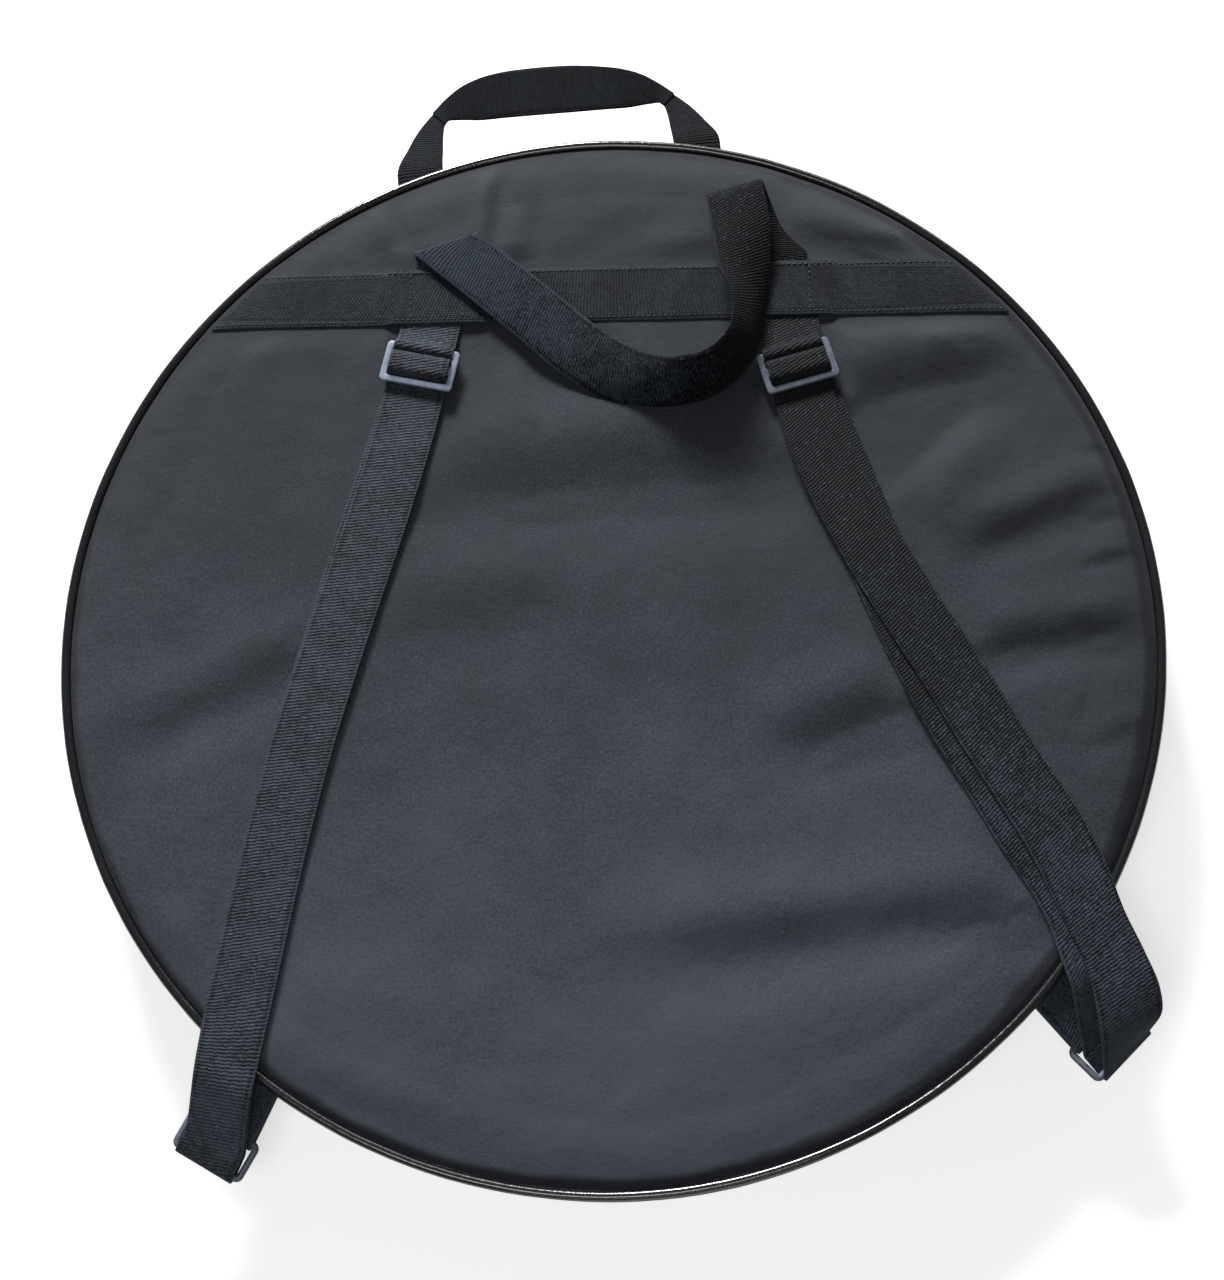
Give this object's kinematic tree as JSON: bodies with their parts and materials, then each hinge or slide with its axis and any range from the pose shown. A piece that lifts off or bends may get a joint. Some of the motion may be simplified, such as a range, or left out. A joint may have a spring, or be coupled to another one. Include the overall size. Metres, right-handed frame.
{
  "type": "padded cymbal bag",
  "caption": "Round padded cymbal bag with a zip round its gusset, a piped rim, carry handle, shoulder straps with adjusters and a grab loop.",
  "frame": {"origin": "centre of the outside of the front face, on which the bag lies", "axes": "+Z out of the back panel, +Y towards the carry handle, +X to the right seen from the back"},
  "size_m": [0.585, 0.6498, 0.0833],
  "materials": {
    "shell_fabric": "matte woven nylon",
    "lining": "smooth lining cloth",
    "foam": "closed-cell foam",
    "piping": "glossy extruded cord",
    "webbing": "ribbed webbing",
    "zip_tape": "woven tape",
    "zip_coil": "moulded coil",
    "buckle_plastic": "satin moulded plastic",
    "ring_plastic": "satin moulded plastic",
    "slider_metal": "dark coated metal"
  },
  "bodies": {
    "front_shell": {"front_panel": "shell_fabric", "front_padding": "foam", "front_lining": "lining", "front_piping": "piping", "front_gusset": "shell_fabric", "front_gusset_padding": "foam", "front_zip_tape": "zip_tape", "front_zip_coil": "zip_coil", "hinge_gusset": "shell_fabric"},
    "back_shell": {"back_panel": "shell_fabric", "back_padding": "foam", "back_lining": "lining", "back_piping": "piping", "back_gusset": "shell_fabric", "back_gusset_padding": "foam", "back_zip_tape": "zip_tape", "back_zip_coil": "zip_coil", "back_band": "webbing", "grab_loop": "webbing", "left_handle_root": "webbing", "right_handle_root": "webbing", "left_strap_upper_run": "webbing", "right_strap_upper_run": "webbing", "left_strap_lower_run": "webbing", "right_strap_lower_run": "webbing", "left_ring_tab": "webbing", "right_ring_tab": "webbing"},
    "left_adjuster": {"left_buckle": "buckle_plastic", "left_strap_weave": "webbing", "left_strap_end": "webbing"},
    "right_adjuster": {"right_buckle": "buckle_plastic", "right_strap_weave": "webbing", "right_strap_end": "webbing"},
    "left_ring": {"left_ring": "ring_plastic", "left_strap_foot": "webbing"},
    "right_ring": {"right_ring": "ring_plastic", "right_strap_foot": "webbing"},
    "handle": {"carry_handle": "webbing"},
    "left_slider": {"left_zip_slider": "slider_metal", "left_slider_inner_plate": "slider_metal"},
    "right_slider": {"right_zip_slider": "slider_metal", "right_slider_inner_plate": "slider_metal"},
    "left_pull": {"left_zip_pull": "slider_metal"},
    "right_pull": {"right_zip_pull": "slider_metal"}
  },
  "joints": [
    {"name": "lid_open", "type": "hinge", "parent": "front_shell", "child": "back_shell", "pos_m": [0, -0.2872, 0.0268], "axis": [1, 0, 0], "range_deg": [0, 120], "deforming": ["hinge_gusset"]},
    {"name": "left_slider_travel", "type": "hinge", "parent": "front_shell", "child": "left_slider", "pos_m": [0, 0, 0.0268], "axis": [0, 0, 1], "range_deg": [0, 140]},
    {"name": "left_pull_swing", "type": "hinge", "parent": "left_slider", "child": "left_pull", "pos_m": [-0.03507, 0.28787, 0.0268], "axis": [0, 0, -1], "range_deg": [0, 90]},
    {"name": "right_slider_travel", "type": "hinge", "parent": "front_shell", "child": "right_slider", "pos_m": [0, 0, 0.0268], "axis": [0, 0, -1], "range_deg": [0, 150]},
    {"name": "right_pull_swing", "type": "hinge", "parent": "right_slider", "child": "right_pull", "pos_m": [-0.02151, 0.2892, 0.0268], "axis": [0, 0, 1], "range_deg": [0, 90]},
    {"name": "left_strap_adjust", "type": "slide", "parent": "back_shell", "child": "left_adjuster", "axis": [-0.2499, -0.9683, 0], "range_m": [0, 0.22], "deforming": ["left_strap_lower_run"]},
    {"name": "left_ring_swing", "type": "hinge", "parent": "back_shell", "child": "left_ring", "pos_m": [-0.19211, -0.25698, 0.0365], "axis": [-0.8746, 0.4848, 0], "range_deg": [-35, 35], "deforming": ["left_strap_upper_run", "left_strap_lower_run"]},
    {"name": "right_strap_adjust", "type": "slide", "parent": "back_shell", "child": "right_adjuster", "axis": [0.4069, -0.9135, 0], "range_m": [0, 0.2], "deforming": ["right_strap_lower_run"]},
    {"name": "right_ring_swing", "type": "hinge", "parent": "back_shell", "child": "right_ring", "pos_m": [0.24395, -0.20868, 0.0365], "axis": [-0.7193, -0.6947, 0], "range_deg": [-35, 35], "deforming": ["right_strap_upper_run", "right_strap_lower_run"]},
    {"name": "handle_swing", "type": "hinge", "parent": "back_shell", "child": "handle", "pos_m": [-0.02793, 0.28486, 0.04655], "axis": [0.9952, 0.0976, 0], "range_deg": [-42, 106]}
  ]
}
